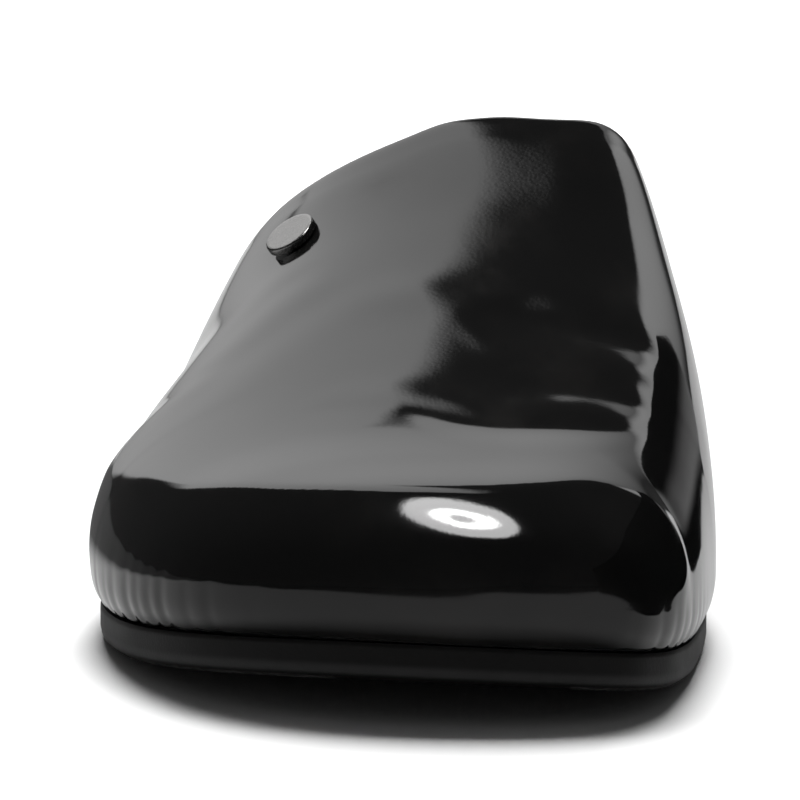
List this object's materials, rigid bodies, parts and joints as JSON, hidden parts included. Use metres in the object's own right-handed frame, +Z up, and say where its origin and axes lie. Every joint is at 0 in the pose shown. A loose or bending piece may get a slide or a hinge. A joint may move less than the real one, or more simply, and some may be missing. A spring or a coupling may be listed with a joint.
{
  "type": "house slipper",
  "caption": "Closed-toe backless house slipper for the right foot: glossy leather upper drawn over a contoured footbed on a thin sole, with a small cap rivet by the collar.",
  "frame": {"origin": "on the floor, under the middle of the object's box", "axes": "+Z up, -Y towards the toe, +Y towards the heel, +X towards the medial (big toe) side"},
  "size_m": [0.1144, 0.2803, 0.0884],
  "materials": {
    "sole_rubber": "matte",
    "footbed_leather": "satin",
    "insole_leather": "matte",
    "upper_leather": "gloss",
    "rivet_metal": "polished, dark"
  },
  "bodies": {
    "root": {"outsole": "sole_rubber", "footbed": "footbed_leather", "insole": "insole_leather", "upper": "upper_leather", "rivet": "rivet_metal"}
  },
  "joints": []
}
